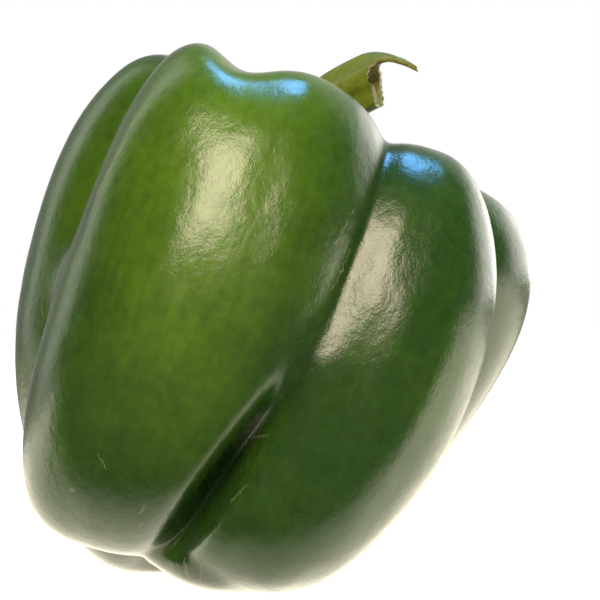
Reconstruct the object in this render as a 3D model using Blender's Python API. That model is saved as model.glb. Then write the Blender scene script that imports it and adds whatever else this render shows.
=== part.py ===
"""Green bell pepper: a four-lobed fruit with its calyx and a short, torn stem.

The sizes below are millimetres in the fruit's own frame. Its origin is the middle of the fruit,
and +Z runs up the fruit's axis to the stem. The finished model is in metres. It leans towards +X,
standing on three of its lobes, and the bottom centre of its bounding box is the origin.
"""

import math
from dataclasses import dataclass

import bmesh
import bpy
import numpy as np
from mathutils import Matrix

MM = 0.001

# How the pepper stands.
LEAN_DEG = 19.5          # its axis leans this far towards +X
FLOOR_HEIGHT = -49.1     # the floor under the leaning fruit, measured from its middle

# How finely each piece is divided.
SKIN_SEGMENTS = 80
SKIN_RINGS = 56
CALYX_SEGMENTS = 60
CALYX_RINGS = 8
STEM_SEGMENTS = 30
STEM_RINGS = 12

# The fruit's skin.
CREASE_BLEND = 0.7       # how softly two lobes meet near the ends
CREASE_BLEND_MORE = 1.0  # extra softness of the grooves half-way up
BLEND_MIDDLE = -5.0      # height where the grooves are softest
BLEND_SPREAD = 8.0       # how far up and down that softness reaches
LARGEST_RADIUS = 75.0    # no skin is further than this from the middle

# The calyx lies on the floor of the hollow round the stem.
CALYX_CENTRE = (-5.0, 0.0)
CALYX_RADIUS = 9.5       # to the bottom of its scallops
CALYX_POINT = 2.5        # length of each pointed sepal beyond that
CALYX_SEPALS = 5
CALYX_THICK = 3.2        # at its middle, where its flat top carries the stem
CALYX_RIM_THICK = 0.9
GAP = 0.6                # air left between neighbouring pieces
HOLLOW_FLOOR = (20.0, 47.0)   # the hollow's floor lies between these heights

# The stem rises from the calyx, bends towards +X and ends in an oblique tear.
STEM_RISE = (-4.2, 0.0, 42.2)   # its middle line is pulled towards these two points
STEM_BEND = (-1.0, -1.0, 44.6)
STEM_TIP = (2.5, -2.6, 48.1)
STEM_FOOT_RADIUS = 6.8
STEM_NECK_RADIUS = 5.3   # just above the flared foot
STEM_TIP_RADIUS = 5.1
STEM_RIBS = 5
STEM_RIB_HEIGHT = 0.45
TEAR_SHORT = 0.2         # the torn end reaches this far past the stem's tip on its lower side
TEAR_LONG = 3.4          # and this far on its upper side
TEAR_WALL = 1.3          # thickness of the torn rim round the hollow pith
TEAR_DEPTH = 3.0         # how deep the hollow goes in
FLAP_LENGTH = 6.7        # the tongue of skin left on the upper side
FLAP_WIDTH_DEG = 32.0    # its half width round the stem
FLAP_CURL = 0.15         # how fast the tongue curls down


@dataclass
class Lobe:
    """A rounded column: its crown and foot give x, y and the height that each end reaches."""

    crown: tuple
    foot: tuple
    crown_radius: float
    foot_radius: float
    belly: float              # extra radius half-way up
    bow: tuple                # how far its axis bows towards +X and +Y half-way up
    crown_power: float        # 2 is a round dome, and more is a squarer shoulder
    foot_power: float
    depth: float = 1.0        # its depth along Y over its width
    roundness: float = 2.3    # of its cross-section: 2 is round, and more is squarer


@dataclass
class Hollow:
    """An egg-shaped space taken out of the fruit."""

    centre: tuple
    size: tuple
    blend: float             # how round its edge is
    slant: float = 0.0       # how far it shifts towards +X for each millimetre of height


LOBES = {
    "front_left": Lobe(
        (-13.9, -15, 45.2), (-17.8, -14, -49.8), 22.3, 17.6, 7.4, (5.2, -4.4), 5, 3.6, 0.85, 2.4
    ),
    "front_right": Lobe(
        (17.4, -18, 39.3), (7.2, -13, -48), 15.8, 18.7, 2.2, (7, -3.5), 2.8, 3.7, 1, 2.7
    ),
    "front_fold": Lobe((4, -13, -36), (2, -14.5, -50.1), 9, 11.5, 0, (0, 0), 2.4, 2.6, 1, 2.2),
    "back_left": Lobe(
        (-28.8, 14, 42.5), (-10.4, 10.5, -55.8), 18.9, 24, 4, (-3.8, 3.5), 3.6, 2.4, 0.9
    ),
    "back_right": Lobe(
        (24.5, 15, 38), (13.5, 15, -46.7), 26.5, 14.8, 3.6, (1, 3), 2.6, 3, 0.85
    ),
    "middle": Lobe((-3, 2, 35), (-3, 2, -46), 27, 21, 11, (0, 0), 3, 3),
    "blossom_knob": Lobe((-3, 0, -25), (-3.5, -4, -52.6), 9, 7, 0, (0, 0), 2.4, 2.4, 1, 2.2),
}
HOLLOWS = {
    "round_the_stem": Hollow((-5, 0, 48), (17, 17, 18), 2.5),
    "blossom_end": Hollow((-0.5, 1.5, -58), (6, 5, 13), 2.5),
    "crown_notch": Hollow((-19, -30, 53.6), (5.5, 23, 10), 2.2),
    "front_cleft": Hollow((0.4, -38, -33), (2.6, 15, 17), 1.5, 0.26),
}


def lobe_distance(points, lobe):
    """Roughly how far each point lies outside the lobe, in millimetres; negative inside it."""
    height = points[:, 2]
    middle = (lobe.crown[2] + lobe.foot[2]) / 2
    half = (lobe.crown[2] - lobe.foot[2]) / 2
    along = (height - middle) / half
    rise = np.clip((along + 1) / 2, -0.2, 1.2)
    bulge = 1 - (2 * rise - 1) ** 2
    axis_x = lobe.foot[0] + (lobe.crown[0] - lobe.foot[0]) * rise + lobe.bow[0] * bulge
    axis_y = lobe.foot[1] + (lobe.crown[1] - lobe.foot[1]) * rise + lobe.bow[1] * bulge
    radius = lobe.foot_radius + (lobe.crown_radius - lobe.foot_radius) * rise + lobe.belly * bulge
    across = np.abs((points[:, 0] - axis_x) / radius) ** lobe.roundness
    deep = np.abs((points[:, 1] - axis_y) / (radius * lobe.depth)) ** lobe.roundness
    round_it = (across + deep) ** (1 / lobe.roundness)
    power = np.where(along > 0, lobe.crown_power, lobe.foot_power)
    reach = (round_it ** power + np.abs(along) ** power) ** (1 / power)
    return (reach - 1) * lobe.foot_radius


def skin_distance(points):
    """Roughly how far each point lies outside the fruit's skin; negative inside it."""
    from_middle = (points[:, 2] - BLEND_MIDDLE) / BLEND_SPREAD
    blend = CREASE_BLEND + CREASE_BLEND_MORE * np.exp(-(from_middle ** 2))
    each = np.stack([lobe_distance(points, lobe) for lobe in LOBES.values()])
    nearest = each.min(axis=0)
    outside = nearest - blend * np.log(np.exp(-(each - nearest) / blend).sum(axis=0))
    for hollow in HOLLOWS.values():
        offset = points - np.array(hollow.centre)
        offset[:, 0] -= hollow.slant * offset[:, 2]
        reach = np.linalg.norm(offset / np.array(hollow.size), axis=1)
        taken = (1 - reach) * min(hollow.size)
        larger = np.maximum(outside, taken)
        closeness = np.exp(-np.abs(outside - taken) / hollow.blend)
        outside = larger + hollow.blend * np.log1p(closeness)
    return outside


def skin_radius(directions):
    """Distance from the middle of the fruit to its skin along each unit direction."""
    inner = np.full(len(directions), 4.0)
    outer = np.full(len(directions), LARGEST_RADIUS)
    for _ in range(26):
        halfway = (inner + outer) / 2
        inside = skin_distance(directions * halfway[:, None]) < 0
        inner = np.where(inside, halfway, inner)
        outer = np.where(inside, outer, halfway)
    return (inner + outer) / 2


def coloured(name, colour, roughness):
    """A plain Principled material."""
    material = bpy.data.materials.new(name)
    material.use_nodes = True
    shader = material.node_tree.nodes["Principled BSDF"]
    shader.inputs["Base Color"].default_value = (*colour, 1.0)
    shader.inputs["Roughness"].default_value = roughness
    shader.inputs["Metallic"].default_value = 0.0
    return material


def finished(name, mesh_builder, material):
    """Turn a bmesh in the fruit's own frame into a standing object in metres."""
    stand = Matrix.Scale(MM, 4) @ Matrix.Rotation(math.radians(LEAN_DEG), 4, "Y")
    mesh_builder.transform(stand)
    bmesh.ops.recalc_face_normals(mesh_builder, faces=mesh_builder.faces)
    mesh = bpy.data.meshes.new(name)
    mesh_builder.to_mesh(mesh)
    mesh_builder.free()
    mesh.shade_smooth()
    mesh.set_sharp_from_angle(angle=math.radians(40))
    mesh.materials.append(material)
    item = bpy.data.objects.new(name, mesh)
    bpy.context.scene.collection.objects.link(item)
    return item


def ring_faces(shape, rings):
    """Join each ring of vertices to the next with four-sided faces."""
    for lower, upper in zip(rings, rings[1:]):
        count = len(lower)
        for i in range(count):
            j = (i + 1) % count
            shape.faces.new((lower[i], lower[j], upper[j], upper[i]))


def close_ring(shape, ring, centre):
    """Close a ring of vertices with a fan of triangles round a middle point."""
    hub = shape.verts.new(centre)
    for i, vertex in enumerate(ring):
        shape.faces.new((vertex, ring[(i + 1) % len(ring)], hub))


def make_fruit():
    """The whole fruit wall: a sphere pushed out to the skin, with flats where it stands."""
    shape = bmesh.new()
    bmesh.ops.create_uvsphere(shape, u_segments=SKIN_SEGMENTS, v_segments=SKIN_RINGS, radius=1.0)
    directions = np.array([vertex.co for vertex in shape.verts])
    directions /= np.linalg.norm(directions, axis=1)[:, None]
    for vertex, radius in zip(shape.verts, skin_radius(directions)):
        vertex.co = vertex.co.normalized() * float(radius)
    lean = math.radians(LEAN_DEG)
    down = (math.sin(lean), 0.0, -math.cos(lean))
    under = [FLOOR_HEIGHT * -part for part in down]
    everything = shape.verts[:] + shape.edges[:] + shape.faces[:]
    cut = bmesh.ops.bisect_plane(
        shape, geom=everything, plane_co=under, plane_no=down, dist=1e-5, clear_outer=True
    )
    rims = [edge for edge in cut["geom_cut"] if isinstance(edge, bmesh.types.BMEdge)]
    bmesh.ops.holes_fill(shape, edges=rims, sides=0)
    return finished("fruit_body", shape, coloured("green_skin", (0.075, 0.145, 0.020), 0.25))


def hollow_floor(places):
    """Height of the skin straight below the stem's hollow, at each x and y."""
    below = np.full(len(places), HOLLOW_FLOOR[0])
    above = np.full(len(places), HOLLOW_FLOOR[1])
    for _ in range(24):
        halfway = (below + above) / 2
        inside = skin_distance(np.column_stack([places, halfway])) < 0
        below = np.where(inside, halfway, below)
        above = np.where(inside, above, halfway)
    return (below + above) / 2


def make_calyx():
    """A thin star of five short sepals that follows the floor of the hollow."""
    turns = np.linspace(0, 2 * math.pi, CALYX_SEGMENTS, endpoint=False)
    reach = CALYX_RADIUS + CALYX_POINT * np.abs(np.cos(CALYX_SEPALS * turns / 2)) ** 3
    outline = np.stack([np.cos(turns) * reach, np.sin(turns) * reach], axis=1)
    middle = float(hollow_floor(np.array([CALYX_CENTRE]))[0]) + GAP
    shape = bmesh.new()
    under, over = [], []
    for step in range(1, CALYX_RINGS + 1):
        part = step / CALYX_RINGS
        places = np.array(CALYX_CENTRE) + outline * part
        low = hollow_floor(places) + GAP * (1 + part)
        high = np.maximum(low + CALYX_RIM_THICK, middle + CALYX_THICK)
        under.append([shape.verts.new(spot) for spot in np.column_stack([places, low])])
        over.append([shape.verts.new(spot) for spot in np.column_stack([places, high])])
    ring_faces(shape, under[::-1])
    ring_faces(shape, over)
    ring_faces(shape, [under[-1], over[-1]])
    close_ring(shape, under[0], (*CALYX_CENTRE, middle))
    close_ring(shape, over[0], (*CALYX_CENTRE, middle + CALYX_THICK))
    return finished("calyx", shape, coloured("calyx_green", (0.14, 0.21, 0.04), 0.55))


def stem_line(part):
    """A point of the stem's bent middle line and the line's direction there."""
    foot = float(hollow_floor(np.array([CALYX_CENTRE]))[0]) + GAP + CALYX_THICK + GAP
    points = [
        np.array((*CALYX_CENTRE, foot)),
        np.array(STEM_RISE),
        np.array(STEM_BEND),
        np.array(STEM_TIP),
    ]
    rest = 1 - part
    weights = (rest**3, 3 * rest**2 * part, 3 * rest * part**2, part**3)
    place = sum(weight * point for weight, point in zip(weights, points))
    slopes = (rest**2, 2 * rest * part, part**2)
    heading = sum(slope * (b - a) for slope, a, b in zip(slopes, points, points[1:]))
    return place, heading / np.linalg.norm(heading)


def stem_ring(part, inset=0.0):
    """The stem's ribbed cross-section at one place along it, and which way is up and ahead."""
    place, heading = stem_line(part)
    upper = np.cross((0.0, 1.0, 0.0), heading)
    upper = -upper / np.linalg.norm(upper)
    sideways = np.cross(heading, upper)
    turns = np.linspace(0, 2 * math.pi, STEM_SEGMENTS, endpoint=False)
    neck = STEM_NECK_RADIUS + (STEM_TIP_RADIUS - STEM_NECK_RADIUS) * part
    flare = (STEM_FOOT_RADIUS - STEM_NECK_RADIUS) * math.exp(-((part / 0.18) ** 2))
    radius = neck + flare + STEM_RIB_HEIGHT * np.cos(STEM_RIBS * turns) - inset
    spread = np.cos(turns)[:, None] * upper + np.sin(turns)[:, None] * sideways
    return place + spread * radius[:, None], heading, upper, turns


def make_stem():
    """A ribbed stalk with a hollow, torn end and a tongue of skin curling over it."""
    rings = [stem_ring(step / STEM_RINGS)[0] for step in range(STEM_RINGS + 1)]
    edge, heading, upper, turns = stem_ring(1.0)
    inner_edge = stem_ring(1.0, TEAR_WALL)[0]
    from_top = np.minimum(turns, 2 * math.pi - turns)
    flap = FLAP_LENGTH * np.exp(-((from_top / math.radians(FLAP_WIDTH_DEG)) ** 2))
    tear = TEAR_SHORT + (TEAR_LONG - TEAR_SHORT) * (1 + np.cos(turns)) / 2

    def torn(start, part, back):
        out = (tear + flap * part - back)[:, None] * heading
        return start + out - FLAP_CURL * ((flap * part) ** 2)[:, None] * upper

    steps = (0.4, 0.7, 1.0)
    rings += [torn(edge, part, 0.0) for part in steps]
    rings += [torn(inner_edge, part, 0.4) for part in reversed(steps)]
    rings.append(inner_edge - TEAR_DEPTH * heading)
    shape = bmesh.new()
    loops = [[shape.verts.new(spot) for spot in ring] for ring in rings]
    ring_faces(shape, loops)
    close_ring(shape, loops[-1], stem_line(1.0)[0] - TEAR_DEPTH * heading)
    close_ring(shape, loops[0], stem_line(0.0)[0])
    return finished("stem", shape, coloured("stem_green", (0.17, 0.23, 0.035), 0.5))


def centre_on_floor(items):
    """Move the pepper so that the bottom centre of its bounding box is the origin."""
    spots = np.array([vertex.co for item in items for vertex in item.data.vertices])
    low, high = spots.min(axis=0), spots.max(axis=0)
    shift = Matrix.Translation((-(low[0] + high[0]) / 2, -(low[1] + high[1]) / 2, -low[2]))
    for item in items:
        item.data.transform(shift)


for leftover in list(bpy.data.objects):
    bpy.data.objects.remove(leftover)
centre_on_floor([make_fruit(), make_calyx(), make_stem()])
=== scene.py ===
import math

import bpy
import numpy as np
from mathutils import Matrix, Vector, noise


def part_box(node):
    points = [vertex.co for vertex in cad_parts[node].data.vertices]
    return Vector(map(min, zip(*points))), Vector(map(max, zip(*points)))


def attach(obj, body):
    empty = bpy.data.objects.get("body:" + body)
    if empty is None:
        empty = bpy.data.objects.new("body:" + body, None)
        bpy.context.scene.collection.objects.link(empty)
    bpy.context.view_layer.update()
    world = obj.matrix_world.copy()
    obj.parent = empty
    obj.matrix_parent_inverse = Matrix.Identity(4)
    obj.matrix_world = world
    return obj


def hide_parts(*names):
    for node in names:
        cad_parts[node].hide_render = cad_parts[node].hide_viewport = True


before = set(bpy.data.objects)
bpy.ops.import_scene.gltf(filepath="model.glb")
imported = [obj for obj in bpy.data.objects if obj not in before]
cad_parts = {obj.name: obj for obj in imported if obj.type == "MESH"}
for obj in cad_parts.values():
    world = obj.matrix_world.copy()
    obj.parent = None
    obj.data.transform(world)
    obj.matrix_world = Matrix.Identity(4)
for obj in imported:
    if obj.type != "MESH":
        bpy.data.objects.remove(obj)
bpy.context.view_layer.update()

# ---- The fruit wall -------------------------------------------------------------------------
# One hollow wall of crisp flesh under a thin waxy skin. It grows as four uneven lobes round a
# core, so its form is rounded columns that melt into each other, with a hollow for the stem,
# a dimple at the blossom end and a deep cleft between the two front lobes.

LEAN = math.radians(19.5)      # the fruit's axis leans this far towards +X as it stands
MM = 0.001                     # the fruit is drawn in millimetres, round its own middle
floor_below = 49.1             # from the middle of the fruit down to the floor
crease_blend = 0.7             # how softly two lobes meet
softer_creases = 1.0           # how much more softly they meet round this height
softest_height, softest_reach = -5, 8
innermost, outermost = 4.0, 75.0   # the skin lies between these distances from the middle
bisections = 24
swell_height, fold_height, dent_height = 0.34, 0.10, 0.04

# Each lobe: crown and foot (x, y, height), crown and foot radius, belly, bow towards +X and
# +Y, crown and foot squareness, depth over width, roundness of its cross-section.
fruit_lobes = {
    "front_left": (
        (-13.9, -15, 45.2), (-17.8, -14, -49.8), 22.3, 17.6, 7.4, (5.2, -4.4), 5, 3.6, 0.85, 2.4
    ),
    "front_right": (
        (17.4, -18, 39.3), (7.2, -13, -48), 15.8, 18.7, 2.2, (7, -3.5), 2.8, 3.7, 1, 2.7
    ),
    "front_fold": ((4, -13, -36), (2, -14.5, -50.1), 9, 11.5, 0, (0, 0), 2.4, 2.6, 1, 2.2),
    "back_left": (
        (-28.8, 14, 42.5), (-10.4, 10.5, -55.8), 18.9, 24, 4, (-3.8, 3.5), 3.6, 2.4, 0.9, 2.3
    ),
    "back_right": ((24.5, 15, 38), (13.5, 15, -46.7), 26.5, 14.8, 3.6, (1, 3), 2.6, 3, 0.85, 2.3),
    "middle": ((-3, 2, 35), (-3, 2, -46), 27, 21, 11, (0, 0), 3, 3, 1, 2.3),
    "blossom_knob": ((-3, 0, -25), (-3.5, -4, -52.6), 9, 7, 0, (0, 0), 2.4, 2.4, 1, 2.2),
}
# Each hollow: centre, size, roundness of its edge, and how far it slants to +X going up.
fruit_hollows = {
    "round_the_stem": ((-5, 0, 48), (17, 17, 18), 2.5, 0),
    "blossom_end": ((-0.5, 1.5, -58), (6, 5, 13), 2.5, 0),
    "crown_notch": ((-19, -30, 53.6), (5.5, 23, 10), 2.2, 0),
    "front_cleft": ((0.4, -38, -33), (2.6, 15, 17), 1.5, 0.26),
}


def lobe_distance(points, lobe):
    crown, foot, crown_radius, foot_radius, belly, bow, crown_power, foot_power = lobe[:8]
    depth, roundness = lobe[8:]
    middle = (crown[2] + foot[2]) / 2
    half = (crown[2] - foot[2]) / 2
    along = (points[:, 2] - middle) / half
    rise = np.clip((along + 1) / 2, -0.2, 1.2)
    bulge = 1 - (2 * rise - 1) ** 2
    axis_x = foot[0] + (crown[0] - foot[0]) * rise + bow[0] * bulge
    axis_y = foot[1] + (crown[1] - foot[1]) * rise + bow[1] * bulge
    radius = foot_radius + (crown_radius - foot_radius) * rise + belly * bulge
    across = np.abs((points[:, 0] - axis_x) / radius) ** roundness
    deep = np.abs((points[:, 1] - axis_y) / (radius * depth)) ** roundness
    power = np.where(along > 0, crown_power, foot_power)
    reach = ((across + deep) ** (power / roundness) + np.abs(along) ** power) ** (1 / power)
    return (reach - 1) * foot_radius


def skin_distance(points):
    from_softest = (points[:, 2] - softest_height) / softest_reach
    blend = crease_blend + softer_creases * np.exp(-(from_softest**2))
    each = np.stack([lobe_distance(points, lobe) for lobe in fruit_lobes.values()])
    nearest = each.min(axis=0)
    outside = nearest - blend * np.log(np.exp(-(each - nearest) / blend).sum(axis=0))
    for centre, size, edge, slant in fruit_hollows.values():
        offset = points - np.array(centre)
        offset[:, 0] -= slant * offset[:, 2]
        offset /= np.array(size)
        taken = (1 - np.linalg.norm(offset, axis=1)) * min(size)
        closeness = np.exp(-np.abs(outside - taken) / edge)
        outside = np.maximum(outside, taken) + edge * np.log1p(closeness)
    return outside


def skin_radius(directions):
    inner = np.full(len(directions), innermost)
    outer = np.full(len(directions), outermost)
    for _ in range(bisections):
        halfway = (inner + outer) / 2
        inside = skin_distance(directions * halfway[:, None]) < 0
        inner = np.where(inside, halfway, inner)
        outer = np.where(inside, outer, halfway)
    return (inner + outer) / 2


around, downward = 360, 270
turns = np.linspace(0, 2 * math.pi, around, endpoint=False)
turns -= 0.45 * np.cos(turns)      # closer together at the front, where the cleft is
tilts = np.linspace(0, math.pi, downward + 1)[1:-1]
ring_x = np.outer(np.sin(tilts), np.cos(turns)).ravel()
ring_y = np.outer(np.sin(tilts), np.sin(turns)).ravel()
ring_z = np.repeat(np.cos(tilts), around)
directions = np.column_stack([ring_x, ring_y, ring_z])
directions = np.vstack([directions, (0, 0, 1), (0, 0, -1)])
skin = directions * skin_radius(directions)[:, None]

swell = np.array([noise.noise((p[0] / 9, p[1] / 9, p[2] / 22)) for p in skin])
dents = np.array([noise.noise((p[0] / 2.6 + 7, p[1] / 2.6, p[2] / 3.4)) for p in skin])
folds = np.array([noise.noise((p[0] / 4.5, p[1] / 4.5 + 3, p[2] / 40)) for p in skin])
unevenness = swell_height * swell + fold_height * folds + dent_height * dents
skin += directions * unevenness[:, None]

lean = np.array(Matrix.Rotation(LEAN, 3, "Y"))
standing = skin @ lean.T * MM
low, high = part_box("fruit_body")
shift = (np.array(low) + np.array(high)) / 2 - (standing.min(axis=0) + standing.max(axis=0)) / 2
shift[2] = floor_below * MM
standing += shift
standing[:, 2] = np.maximum(standing[:, 2], 0.0)

quads = []
for row in range(len(tilts) - 1):
    first = row * around
    for i in range(around):
        j = (i + 1) % around
        quads.append((first + i, first + around + i, first + around + j, first + j))
top, bottom = len(skin) - 2, len(skin) - 1
last = (len(tilts) - 1) * around
for i in range(around):
    j = (i + 1) % around
    quads.append((top, i, j))
    quads.append((bottom, last + j, last + i))
mesh = bpy.data.meshes.new("fruit_skin")
mesh.from_pydata(standing.tolist(), [], quads)
mesh.shade_smooth()
fruit = bpy.data.objects.new("fruit_skin", mesh)
bpy.context.scene.collection.objects.link(fruit)


def new_material(name):
    material = bpy.data.materials.new(name)
    material.use_nodes = True
    nodes = material.node_tree.nodes
    return material, nodes, material.node_tree.links, nodes["Principled BSDF"]


def tune(node, **values):
    """Set a node's sockets by name, with underscores for spaces."""
    for name, value in values.items():
        node.inputs[name.replace("_", " ")].default_value = value
    return node


def fruit_place(nodes, links, squeeze=(1, 1, 1)):
    """The surface point in the fruit's own frame, in millimetres, squeezed along each axis."""
    coordinate = nodes.new("ShaderNodeTexCoord")
    upright = nodes.new("ShaderNodeMapping")
    back = Matrix.Rotation(-LEAN, 3, "Y") @ Vector(shift) / MM
    tune(upright, Scale=(1 / MM,) * 3, Rotation=(0, -LEAN, 0), Location=-back)
    stretch = nodes.new("ShaderNodeMapping")
    stretch.inputs["Scale"].default_value = squeeze
    links.new(coordinate.outputs["Object"], upright.inputs[0])
    links.new(upright.outputs[0], stretch.inputs[0])
    return stretch.outputs[0]


def grain(nodes, links, place, scale, detail=3.0, rough=0.55, low=0.0, high=1.0):
    """Soft noise, spread from low to high."""
    noise_node = nodes.new("ShaderNodeTexNoise")
    tune(noise_node, Scale=scale, Detail=detail, Roughness=rough)
    links.new(place, noise_node.inputs["Vector"])
    spread = nodes.new("ShaderNodeMapRange")
    tune(spread, From_Min=0.3, From_Max=0.7, To_Min=low, To_Max=high)
    links.new(noise_node.outputs[0], spread.inputs["Value"])
    return spread.outputs[0]


def sums(nodes, links, kind, first, second):
    """Two values, or a value and a number, joined by one operation."""
    step = nodes.new("ShaderNodeMath")
    step.operation = kind
    for socket, value in zip(step.inputs, (first, second)):
        if isinstance(value, (int, float)):
            socket.default_value = value
        else:
            links.new(value, socket)
    return step.outputs[0]


def tint(nodes, links, amount, base, over, kind="MIX"):
    """One colour over another, by an amount."""
    mixer = nodes.new("ShaderNodeMix")
    mixer.data_type = "RGBA"
    mixer.blend_type = kind
    for place, value in ((0, amount), (6, base), (7, over)):
        socket = mixer.inputs[place]
        if isinstance(value, (int, float)):
            socket.default_value = value
        elif isinstance(value, (tuple, list)):
            socket.default_value = (*value[:3], 1)
        else:
            links.new(value, socket)
    return mixer.outputs[2]


def painted(nodes, name):
    """A value painted on the mesh."""
    layer = nodes.new("ShaderNodeAttribute")
    layer.attribute_name = name
    return layer.outputs["Fac"]


def relief(nodes, links, height, depth, over=None):
    """Bumps of the given depth in millimetres, on top of any others."""
    bump = nodes.new("ShaderNodeBump")
    bump.inputs["Distance"].default_value = depth * MM
    links.new(height, bump.inputs["Height"])
    if over is not None:
        links.new(over, bump.inputs["Normal"])
    return bump.outputs[0]


# Painted on the skin: how deep in a crease, darkened as painted shade, and a yellower tone that is
# partly riper skin and partly painted light: lighter on the front and high up where the window
# falls, and darker past the right flank of the front-left lobe, where shade falls.
each = np.sort(np.stack([lobe_distance(skin, lobe) for lobe in fruit_lobes.values()]), axis=0)
# painted shade: how close each point is to a crease between two lobes, used to darken it
crease_shade = np.exp(-(each[1] - each[0]) / 1.3)
front = 1 / (1 + np.exp((skin[:, 1] + 12) / 5))
high_up = 1 / (1 + np.exp((4 - skin[:, 2]) / 13))
# painted shade: the yellower tone stops past the right flank of the front-left lobe
left_lobe = 1 / (1 + np.exp((skin[:, 0] - 1) / 3))
ripe_and_lit = 1.05 * front * high_up * left_lobe * np.exp(-((skin[:, 0] + 17) / 26) ** 2)
down_the_front = np.exp(-((skin[:, 0] + 12) / 12) ** 2 - ((skin[:, 2] + 6) / 28) ** 2)
down_the_back = np.exp(-((skin[:, 0] + 34) / 22) ** 2 - ((skin[:, 2] - 16) / 34) ** 2)
ripe_and_lit += 0.35 * front * down_the_front
ripe_and_lit += 0.55 * (1 - front) * down_the_back
for label, values in (("crease_shade", crease_shade), ("ripe_and_lit", ripe_and_lit)):
    layer = fruit.data.attributes.new(label, "FLOAT", "POINT")
    layer.data.foreach_set("value", values)

# A deep green, and a yellower green that is partly riper skin and partly painted light.
deep_green, ripe_lit_green = (0.029, 0.086, 0.012), (0.116, 0.236, 0.011)
# Next: a dark green painted as shade in the creases, a pale green for pores, a cream for scars.
crease_shade_green, pore_green, scar_cream = (0.010, 0.024, 0.006), (0.20, 0.24, 0.09), (0.36, 0.37, 0.19)
skin_look, nodes, links, shader = new_material("waxy_green_skin")
flesh = fruit_place(nodes, links)
drawn_out = fruit_place(nodes, links, (1, 1, 0.16))
wide = grain(nodes, links, flesh, 0.07, 2.0, low=-0.16, high=0.16)
ripeness_and_light = sums(nodes, links, "ADD", painted(nodes, "ripe_and_lit"), wide)
colour = tint(nodes, links, ripeness_and_light, deep_green, ripe_lit_green)
mottle = grain(nodes, links, flesh, 0.55, 4.0, low=0.86, high=1.12)
streak = grain(nodes, links, drawn_out, 0.75, 3.0, low=0.90, high=1.12)
shade_amount = sums(nodes, links, "MULTIPLY", mottle, streak)
shaded = nodes.new("ShaderNodeVectorMath")
shaded.operation = "SCALE"
links.new(colour, shaded.inputs[0])
links.new(shade_amount, shaded.inputs["Scale"])
# painted shade: the skin goes darker towards the creases between lobes
crease_shade_amount = sums(nodes, links, "MULTIPLY", painted(nodes, "crease_shade"), 0.55)
colour = tint(nodes, links, crease_shade_amount, shaded.outputs[0], crease_shade_green)

# pale pores, one in some of the cells
cells = nodes.new("ShaderNodeTexVoronoi")
tune(cells, Scale=0.42)
links.new(flesh, cells.inputs["Vector"])
pore = nodes.new("ShaderNodeMapRange")
tune(pore, From_Min=0.10, From_Max=0.03)
links.new(cells.outputs["Distance"], pore.inputs["Value"])
lot = nodes.new("ShaderNodeSeparateXYZ")
links.new(cells.outputs["Color"], lot.inputs[0])
chosen = sums(nodes, links, "GREATER_THAN", lot.outputs["X"], 0.80)
pores = sums(nodes, links, "MULTIPLY", pore.outputs[0], chosen)
colour = tint(nodes, links, sums(nodes, links, "MULTIPLY", pores, 0.5), colour, pore_green)

# healed scratches and scuffs on the front: middle (x, height), half length (x, height), width
scars = (
    ((-19.0, -32.5), (1.1, -0.9), 0.20),
    ((-22.6, -39.5), (0.1, 0.1), 0.55),
    ((-9.8, -38.6), (0.3, 1.2), 0.26),
    ((-9.2, -41.4), (0.1, 0.6), 0.22),
    ((5.6, -19.4), (1.2, 0.9), 0.22),
    ((5.3, -30.0), (0.7, 1.8), 0.18),
    ((1.0, -46.9), (1.0, -1.7), 0.30),
    ((3.6, -46.2), (0.3, -1.6), 0.16),
    ((9.2, 13.0), (0.4, 4.0), 0.13),
    ((7.2, 20.0), (0.5, 3.5), 0.13),
    ((-35.5, 14.0), (0.5, 3.0), 0.18),
)
fray = nodes.new("ShaderNodeTexNoise")
tune(fray, Scale=1.1, Detail=3.0)
links.new(flesh, fray.inputs["Vector"])
wander = nodes.new("ShaderNodeVectorMath")
wander.operation = "MULTIPLY_ADD"
wander.inputs[1].default_value = (1.6, 0, 1.6)
links.new(fray.outputs["Color"], wander.inputs[0])
level = nodes.new("ShaderNodeVectorMath")
level.operation = "MULTIPLY_ADD"
level.inputs[1].default_value = (1, 0, 1)
level.inputs[2].default_value = (-0.8, 0, -0.8)
links.new(flesh, level.inputs[0])
links.new(level.outputs[0], wander.inputs[2])


def vector_step(kind, first, second, output="Vector"):
    step = nodes.new("ShaderNodeVectorMath")
    step.operation = kind
    for socket, value in zip(step.inputs, (first, second)):
        if isinstance(value, tuple):
            socket.default_value = value
        else:
            links.new(value, socket)
    return step.outputs[output]


scarred = None
for (x, high), (half_x, half_high), width in scars:
    half = math.hypot(half_x, half_high)
    away = vector_step("SUBTRACT", wander.outputs[0], (x, 0, high))
    line_heading = (half_x / half, 0, half_high / half)
    along_it = vector_step("DOT_PRODUCT", away, line_heading, "Value")
    held = sums(nodes, links, "MAXIMUM", sums(nodes, links, "MINIMUM", along_it, half), -half)
    nearest = nodes.new("ShaderNodeVectorMath")
    nearest.operation = "SCALE"
    nearest.inputs[0].default_value = line_heading
    links.new(held, nearest.inputs["Scale"])
    gap_to_it = vector_step("DISTANCE", away, nearest.outputs[0], "Value")
    mark = nodes.new("ShaderNodeMapRange")
    tune(mark, From_Min=width, From_Max=width * 0.4)
    links.new(gap_to_it, mark.inputs["Value"])
    scarred = mark.outputs[0] if scarred is None else sums(
        nodes, links, "MAXIMUM", scarred, mark.outputs[0]
    )
sides = nodes.new("ShaderNodeSeparateXYZ")
links.new(flesh, sides.inputs[0])
on_the_front = sums(nodes, links, "LESS_THAN", sides.outputs["Y"], -8)
scarred = sums(nodes, links, "MULTIPLY", scarred, on_the_front)
broken = grain(nodes, links, flesh, 2.6, 2.0, low=0.3, high=1.1)
scarred = sums(nodes, links, "MULTIPLY", scarred, broken)
colour = tint(nodes, links, sums(nodes, links, "MULTIPLY", scarred, 0.6), colour, scar_cream)
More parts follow.
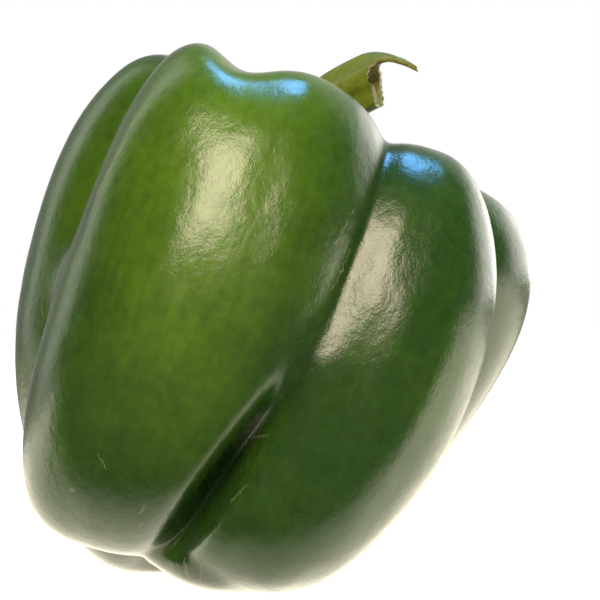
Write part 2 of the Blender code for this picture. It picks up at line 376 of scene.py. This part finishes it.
links.new(colour, shader.inputs["Base Color"])
dull_patches = grain(nodes, links, flesh, 0.35, 5.0, 0.6, low=0.20, high=0.31)
links.new(dull_patches, shader.inputs["Roughness"])
wrinkles = grain(nodes, links, fruit_place(nodes, links, (1, 1, 0.75)), 0.8, 5.0, 0.6)
crazing = grain(nodes, links, flesh, 3.2, 3.0, 0.6)
ripples = relief(nodes, links, wrinkles, 0.030)
normal = relief(nodes, links, crazing, 0.008, ripples)
links.new(normal, shader.inputs["Normal"])
links.new(normal, shader.inputs["Coat Normal"])
tune(shader, Coat_Weight=0.5, Coat_Roughness=0.10)
fruit.data.materials.append(skin_look)
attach(fruit, "root")
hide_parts("fruit_body")

# ---- The calyx ------------------------------------------------------------------------------
# The thin green star that holds the fruit to its stalk. It is leafy tissue grown onto the floor
# of the hollow, with five short sepals, a vein down each one and a raised collar in the middle.

calyx_centre = np.array((-5.0, 0.0))
calyx_thick = 3.2
gap = 0.6                 # air between neighbouring pieces
sepal_count = 5
scallop_reach, sepal_length = 9.5, 2.5
leaf_under = 0.35         # from the fruit's skin up to the leaf's underside
calyx_steps = 26          # rings from its middle to its edge
collar_part = 0.60        # the raised collar covers this part of the way out
leaf_green, light_leaf_green = (0.075, 0.150, 0.018), (0.150, 0.220, 0.035)
dry_brown = (0.16, 0.11, 0.035)


def hollow_floor(places):
    """Height of the skin below each place, inside the hollow round the stem."""
    below = np.full(len(places), 20.0)
    above = np.full(len(places), 47.0)
    for _ in range(24):
        halfway = (below + above) / 2
        inside = skin_distance(np.column_stack([places, halfway])) < 0
        below = np.where(inside, halfway, below)
        above = np.where(inside, above, halfway)
    return (below + above) / 2


def build(name, rings, start, end, attributes=()):
    """A closed skin through rings of points, with a fan of triangles at each end."""
    count = len(rings[0])
    points = np.vstack([*rings, [start], [end]])
    faces = []
    for row in range(len(rings) - 1):
        for i in range(count):
            j = (i + 1) % count
            low_edge = (row * count + i, row * count + j)
            faces.append((*low_edge, low_edge[1] + count, low_edge[0] + count))
    last = (len(rings) - 1) * count
    for i in range(count):
        j = (i + 1) % count
        faces.append((j, i, len(points) - 2))
        faces.append((last + i, last + j, len(points) - 1))
    shape = bpy.data.meshes.new(name)
    shape.from_pydata((points @ lean.T * MM + shift).tolist(), [], faces)
    shape.shade_smooth()
    for label, values in attributes:
        layer = shape.attributes.new(label, "FLOAT", "POINT")
        layer.data.foreach_set("value", np.append(np.ravel(values), (values[0][0], values[-1][0])))
    item = bpy.data.objects.new(name, shape)
    bpy.context.scene.collection.objects.link(item)
    return item


turns = np.linspace(0, 2 * math.pi, 240, endpoint=False)
sepal = np.abs(np.cos(sepal_count / 2 * turns)) ** 3
wavy = np.array([noise.noise((3 * math.cos(t), 3 * math.sin(t), 1)) for t in turns])
reach = scallop_reach + sepal_length * sepal + 0.35 * wavy
outline = np.stack([np.cos(turns) * reach, np.sin(turns) * reach], axis=1)
calyx_floor = float(hollow_floor(calyx_centre[None])[0])
under, over, edge_tone = [], [], []
vein = np.exp(-(np.sin(sepal_count / 2 * turns) / 0.14) ** 2)
for step in range(1, calyx_steps + 1):
    part = step / calyx_steps
    places = calyx_centre + outline * part
    low = hollow_floor(places) + leaf_under + 0.75 * part
    thick = 0.55 + 0.35 * (1 - part)
    collar = calyx_floor + gap + calyx_thick - 6.0 * max(0.0, part - collar_part) ** 2
    crinkle = [noise.noise((x / 1.1, y / 1.1, 3)) for x, y in places]
    ridge = (0.30 * vein - 0.12 * sepal) * math.sin(math.pi * min(1.0, part))
    high = np.maximum(low + thick, collar) + ridge + 0.10 * np.array(crinkle) * part
    under.append(np.column_stack([places, low]))
    over.append(np.column_stack([places, high]))
    edge_tone.append(np.full(len(turns), part))
calyx = build(
    "calyx_star",
    over + under[::-1],
    (*calyx_centre, calyx_floor + gap + calyx_thick - 0.1),
    (*calyx_centre, calyx_floor + leaf_under),
    [("rim", edge_tone + edge_tone[::-1])],
)
calyx_look, nodes, links, shader = new_material("calyx_leaf")
leaf = fruit_place(nodes, links)
leaf_tone = grain(nodes, links, leaf, 0.5, 4.0)
colour = tint(nodes, links, leaf_tone, leaf_green, light_leaf_green)
dry = nodes.new("ShaderNodeMapRange")
tune(dry, From_Min=0.86, From_Max=1.0, To_Max=0.8)
links.new(painted(nodes, "rim"), dry.inputs["Value"])
colour = tint(nodes, links, dry.outputs[0], colour, dry_brown)
links.new(colour, shader.inputs["Base Color"])
leaf_veins = grain(nodes, links, leaf, 1.4, 4.0, 0.6)
links.new(relief(nodes, links, leaf_veins, 0.12), shader.inputs["Normal"])
tune(shader, Roughness=0.58)
calyx.data.materials.append(calyx_look)
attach(calyx, "root")
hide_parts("calyx")

# ---- The stem -------------------------------------------------------------------------------
# A short five-ribbed stalk of woody green tissue. It bends over, and its end is a snapped face:
# a beige, fibrous wall beside a hollow in the pith, painted dark as shade, with a tongue of skin
# left curling over it.

stem_foot = calyx_floor + 2 * gap + calyx_thick
stem_points = [
    np.array((-5.0, 0.0, stem_foot)),
    np.array((-4.2, 0.0, 42.2)),
    np.array((-1.0, -1.0, 44.6)),
    np.array((2.5, -2.6, 48.1)),
]
stem_turns = np.linspace(0, 2 * math.pi, 160, endpoint=False)
neck_radius, taper = 5.3, 0.2
foot_flare, flare_reach = 1.5, 0.18
rib_count, rib_height, furrow_height = 5, 0.45, 0.22
stem_steps, rim_count, face_steps = 60, 12, 20   # rings along the stalk, the rim and the face
rind_wall = 1.1                # thickness of the rind left round the torn face
flap_length, flap_half_width, flap_curl = 6.7, math.radians(32), 0.15
tear_short, tear_slant = 0.2, 1.6      # the torn edge stands further out towards the top
pith_depth = 2.8
rind_green, light_rind_green = (0.140, 0.205, 0.010), (0.250, 0.300, 0.014)
dark_fibre, pale_fibre = (0.170, 0.140, 0.022), (0.560, 0.480, 0.150)
# a near-black brown, painted as shade in the hollow under the flap
hollow_shade_brown = (0.045, 0.042, 0.016)


def stem_ring(part, inset=0.0):
    """The ribbed cross-section at one place along the stalk, and which way is ahead and up."""
    rest = 1 - part
    weights = (rest**3, 3 * rest**2 * part, 3 * rest * part**2, part**3)
    place = sum(weight * point for weight, point in zip(weights, stem_points))
    slopes = (rest**2, 2 * rest * part, part**2)
    steps = zip(slopes, stem_points, stem_points[1:])
    heading = sum(slope * (b - a) for slope, a, b in steps)
    heading /= np.linalg.norm(heading)
    upper = -np.cross((0.0, 1.0, 0.0), heading)
    upper /= np.linalg.norm(upper)
    sideways = np.cross(heading, upper)
    flare = foot_flare * math.exp(-((part / flare_reach) ** 2))
    radius = neck_radius - taper * part + flare - inset
    ribs = rib_height * np.cos(rib_count * stem_turns)
    fine = [noise.noise((4 * math.cos(t), 4 * math.sin(t), 1.5 * part)) for t in stem_turns]
    radius = radius + ribs + furrow_height * np.array(fine)
    spread = np.cos(stem_turns)[:, None] * upper + np.sin(stem_turns)[:, None] * sideways
    return place + spread * radius[:, None], heading, upper, place


rings = [stem_ring(step / stem_steps)[0] for step in range(stem_steps + 1)]
edge, heading, upper, tip = stem_ring(1.0)
inner_edge = stem_ring(1.0, rind_wall)[0]
from_top = np.minimum(stem_turns, 2 * math.pi - stem_turns)
frayed = np.array([noise.noise((7 * math.cos(t), 7 * math.sin(t), 5)) for t in stem_turns])
flap = flap_length * np.exp(-((from_top / flap_half_width) ** 2)) + 0.3 * frayed
tear = tear_short + tear_slant * (1 + np.cos(stem_turns)) + 0.18 * frayed


def torn(start, part, back):
    """A ring of the torn rim, part of the way out from where it starts."""
    out = (tear * part**0.6 + flap * part - back)[:, None] * heading
    return start + out - flap_curl * ((flap * part) ** 2)[:, None] * upper


rim_steps = [step / rim_count for step in range(1, rim_count + 1)]
rings += [torn(edge, part, 0.0) for part in rim_steps]
torn_from = len(rings)
rings += [torn(inner_edge, part, 0.3) for part in rim_steps[:2:-1]]
wall_end = tear * 0.45 + flap * 0.25 - 0.3
height = np.cos(stem_turns)
hollow_shade = [np.zeros(len(stem_turns))] * len(rings)
for step in range(1, face_steps):
    inward = 1 - step / face_steps
    spots = zip(4.5 * inward * height, 4.5 * inward * np.sin(stem_turns))
    fibres = np.array([noise.noise((0.35 * h, 1.5 * w, 2)) for h, w in spots])
    hollow = 1 / (1 + np.exp(-(inward * height - 0.12) / 0.08))
    deep = (0.1 + pith_depth * hollow) * (1 - inward**4)
    out = wall_end * inward + 0.9 * (1 - inward) - deep + 0.8 * fibres * (1 - inward**2)
    rings.append(tip + (inner_edge - tip) * inward + out[:, None] * heading)
    hollow_shade.append(hollow * (1 - inward**4))
cap_middle = rings[-1].mean(axis=0)
torn_tone = []
for row in range(len(rings)):
    raw = np.full(len(stem_turns), 0.0 if row < torn_from else 1.0)
    torn_tone.append(raw / (1 + np.exp((-0.72 - height + 0.15 * frayed) / 0.06)))
stem = build(
    "stem_stalk",
    rings[::-1],
    cap_middle,
    stem_points[0],
    [("torn", torn_tone[::-1]), ("hollow_shade", hollow_shade[::-1])],
)
stem_look, nodes, links, shader = new_material("stem_rind")
fibre_place = fruit_place(nodes, links, (1, 1, 0.35))
rind_tone = grain(nodes, links, fibre_place, 0.8, 4.0)
colour = tint(nodes, links, rind_tone, rind_green, light_rind_green)
fibre = grain(nodes, links, fibre_place, 2.4, 4.0, 0.65)
torn_colour = tint(nodes, links, fibre, dark_fibre, pale_fibre)
# painted shade: the hollow under the flap is darkened
torn_colour = tint(nodes, links, painted(nodes, "hollow_shade"), torn_colour, hollow_shade_brown)
colour = tint(nodes, links, painted(nodes, "torn"), colour, torn_colour)
links.new(colour, shader.inputs["Base Color"])
links.new(relief(nodes, links, fibre, 0.10), shader.inputs["Normal"])
tune(shader, Roughness=0.42, Coat_Weight=0.35, Coat_Roughness=0.16)
stem.data.materials.append(stem_look)
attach(stem, "root")
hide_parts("stem")

# ---- Camera, floor and lights ---------------------------------------------------------------
# A plain white sweep of floor and a plain room, with one warm window in front and one blue one
# overhead. The floor and the room look white, and the glossy skin mirrors a darker side of them
# in front and a brighter one behind and to the right.

camera_reach = Vector((0.0057, -0.420, 0.0038))    # from the middle of the fruit
camera_lens, camera_sensor = 132.6, 36
floor_half = 3
floor_white, floor_glow = (0.80, 0.80, 0.79, 1), 0.92
floor_bounce = (0.62, 0.60, 0.50, 1)       # the colour that lights the fruit from below
floor_mirrored = (0.95, 0.88, 0.70, 1)     # the colour that shows in its gloss
middle = Vector(shift)
camera_data = bpy.data.cameras.new("camera")
camera_data.lens = camera_lens
camera_data.sensor_width = camera_sensor
camera = bpy.data.objects.new("camera", camera_data)
camera.location = middle + camera_reach
camera.rotation_euler = (math.radians(90), 0, 0)
bpy.context.scene.collection.objects.link(camera)
bpy.context.scene.camera = camera

floor_mesh = bpy.data.meshes.new("floor")
corners = [(x * floor_half, y * floor_half, 0) for x, y in ((-1, -1), (1, -1), (1, 1), (-1, 1))]
floor_mesh.from_pydata(corners, [], [(0, 1, 2, 3)])
floor = bpy.data.objects.new("floor", floor_mesh)
bpy.context.scene.collection.objects.link(floor)
floor_look, nodes, links, shader = new_material("pale_floor")
tune(shader, Base_Color=floor_white, Roughness=0.9, Specular_IOR_Level=0.1)
tune(shader, Emission_Color=(1, 1, 1, 1), Emission_Strength=floor_glow)
dull = nodes.new("ShaderNodeBsdfDiffuse")
tune(dull, Color=floor_bounce)
mirrored = nodes.new("ShaderNodeEmission")
tune(mirrored, Color=floor_mirrored)

# In the skin's gloss the floor is dark in front of the fruit, bright behind it, and dim again
# further off.
spot = nodes.new("ShaderNodeTexCoord")
across = nodes.new("ShaderNodeSeparateXYZ")
behind = nodes.new("ShaderNodeMapRange")
tune(behind, From_Min=-0.042, From_Max=-0.020, To_Min=0.08, To_Max=3.0)
fading = nodes.new("ShaderNodeMapRange")
tune(fading, From_Min=0.05, From_Max=0.35, To_Min=1.0, To_Max=0.12)
links.new(spot.outputs["Object"], across.inputs[0])
to_right = sums(nodes, links, "MULTIPLY", across.outputs["X"], 0.5)
to_right = sums(nodes, links, "MAXIMUM", to_right, 0)
far_side = sums(nodes, links, "ADD", across.outputs["Y"], to_right)
links.new(far_side, behind.inputs["Value"])
links.new(across.outputs["Y"], fading.inputs["Value"])
glow = sums(nodes, links, "MULTIPLY", behind.outputs[0], fading.outputs[0])
sunny = nodes.new("ShaderNodeMapRange")
tune(sunny, From_Min=-0.03, From_Max=0.05, To_Min=0.95, To_Max=1.0)
links.new(across.outputs["X"], sunny.inputs["Value"])
glow = sums(nodes, links, "MULTIPLY", glow, sunny.outputs[0])
links.new(glow, mirrored.inputs["Strength"])
seen = nodes.new("ShaderNodeLightPath")
reflection_pick = nodes.new("ShaderNodeMixShader")
links.new(seen.outputs["Is Glossy Ray"], reflection_pick.inputs[0])
links.new(dull.outputs[0], reflection_pick.inputs[1])
links.new(mirrored.outputs[0], reflection_pick.inputs[2])
floor_pick = nodes.new("ShaderNodeMixShader")
links.new(seen.outputs["Is Camera Ray"], floor_pick.inputs[0])
links.new(reflection_pick.outputs[0], floor_pick.inputs[1])
links.new(shader.outputs[0], floor_pick.inputs[2])
links.new(floor_pick.outputs[0], nodes["Material Output"].inputs["Surface"])
floor.data.materials.append(floor_look)


def softbox(name, place, size, power, colour):
    """A rectangular light that faces the fruit."""
    light = bpy.data.lights.new(name, "AREA")
    light.shape = "RECTANGLE"
    light.size, light.size_y = size
    light.energy = power
    light.color = colour
    lamp = bpy.data.objects.new(name, light)
    lamp.location = place
    lamp.rotation_euler = (middle - Vector(place)).to_track_quat("-Z", "Y").to_euler()
    bpy.context.scene.collection.objects.link(lamp)


warm_white, sky_blue = (1.0, 0.84, 0.62), (0.15, 0.46, 1.0)
softbox("front_window", (-0.11, -0.88, 0.53), (0.40, 0.60), 8.2, warm_white)
softbox("top_window", (0.20, 0.06, 0.94), (0.42, 0.22), 4.6, sky_blue)

# The room's brightness goes by direction: a dim strip at the left, dark round the front, bright
# at the right and behind. It is nearly even where it lights the fruit, and white to the eye.
world = bpy.data.worlds.new("studio")
bpy.context.scene.world = world
world.use_nodes = True
nodes, links = world.node_tree.nodes, world.node_tree.links
room = nodes["Background"]
where = nodes.new("ShaderNodeTexCoord")
parts = nodes.new("ShaderNodeSeparateXYZ")
ahead = sums(nodes, links, "MULTIPLY", parts.outputs["Y"], 0.4)
fall_of_room = sums(nodes, links, "MULTIPLY", parts.outputs["Z"], 0.5)
bright_side = sums(nodes, links, "ADD", parts.outputs["X"], ahead)
bright_side = sums(nodes, links, "SUBTRACT", bright_side, fall_of_room)
depth = nodes.new("ShaderNodeMapRange")
tune(depth, From_Min=-1.0)
shade = nodes.new("ShaderNodeValToRGB")
room_light_white, room_dark = (1.0, 0.97, 0.90, 1), (0.08, 0.08, 0.075, 1)
shade.color_ramp.elements[0].color = (0.09, 0.09, 0.085, 1)
shade.color_ramp.elements[1].color = room_light_white
for position, colour in (
    (0.11, (0.46, 0.46, 0.43, 1)),
    (0.22, room_dark),
    (0.48, room_dark),
    (0.60, (0.20, 0.20, 0.185, 1)),
    (0.74, (0.24, 0.235, 0.22, 1)),
    (0.87, room_light_white),
):
    side = shade.color_ramp.elements.new(position)
    side.color = colour
beyond = nodes.new("ShaderNodeMapRange")
tune(beyond, From_Min=-0.05, From_Max=0.35, To_Min=0.03)
links.new(parts.outputs["Y"], beyond.inputs["Value"])
links.new(where.outputs["Generated"], parts.inputs[0])
links.new(bright_side, depth.inputs["Value"])
links.new(depth.outputs[0], shade.inputs[0])
links.new(shade.outputs[0], room.inputs["Color"])
white = nodes.new("ShaderNodeBackground")
tune(white, Color=(1, 1, 1, 1))
ray = nodes.new("ShaderNodeLightPath")
strength = nodes.new("ShaderNodeMapRange")
tune(strength, To_Min=3.2, To_Max=0.75)     # in the gloss, and as light on the fruit
links.new(ray.outputs["Is Diffuse Ray"], strength.inputs["Value"])
turned = nodes.new("ShaderNodeMix")
turned.inputs[3].default_value = 1.0
links.new(ray.outputs["Is Diffuse Ray"], turned.inputs[0])
links.new(beyond.outputs[0], turned.inputs[2])
room_light = sums(nodes, links, "MULTIPLY", strength.outputs[0], turned.outputs[0])
links.new(room_light, room.inputs["Strength"])
pick = nodes.new("ShaderNodeMixShader")
links.new(ray.outputs["Is Camera Ray"], pick.inputs[0])
links.new(room.outputs[0], pick.inputs[1])
links.new(white.outputs[0], pick.inputs[2])
links.new(pick.outputs[0], nodes["World Output"].inputs["Surface"])
bpy.context.scene.view_settings.view_transform = "Standard"
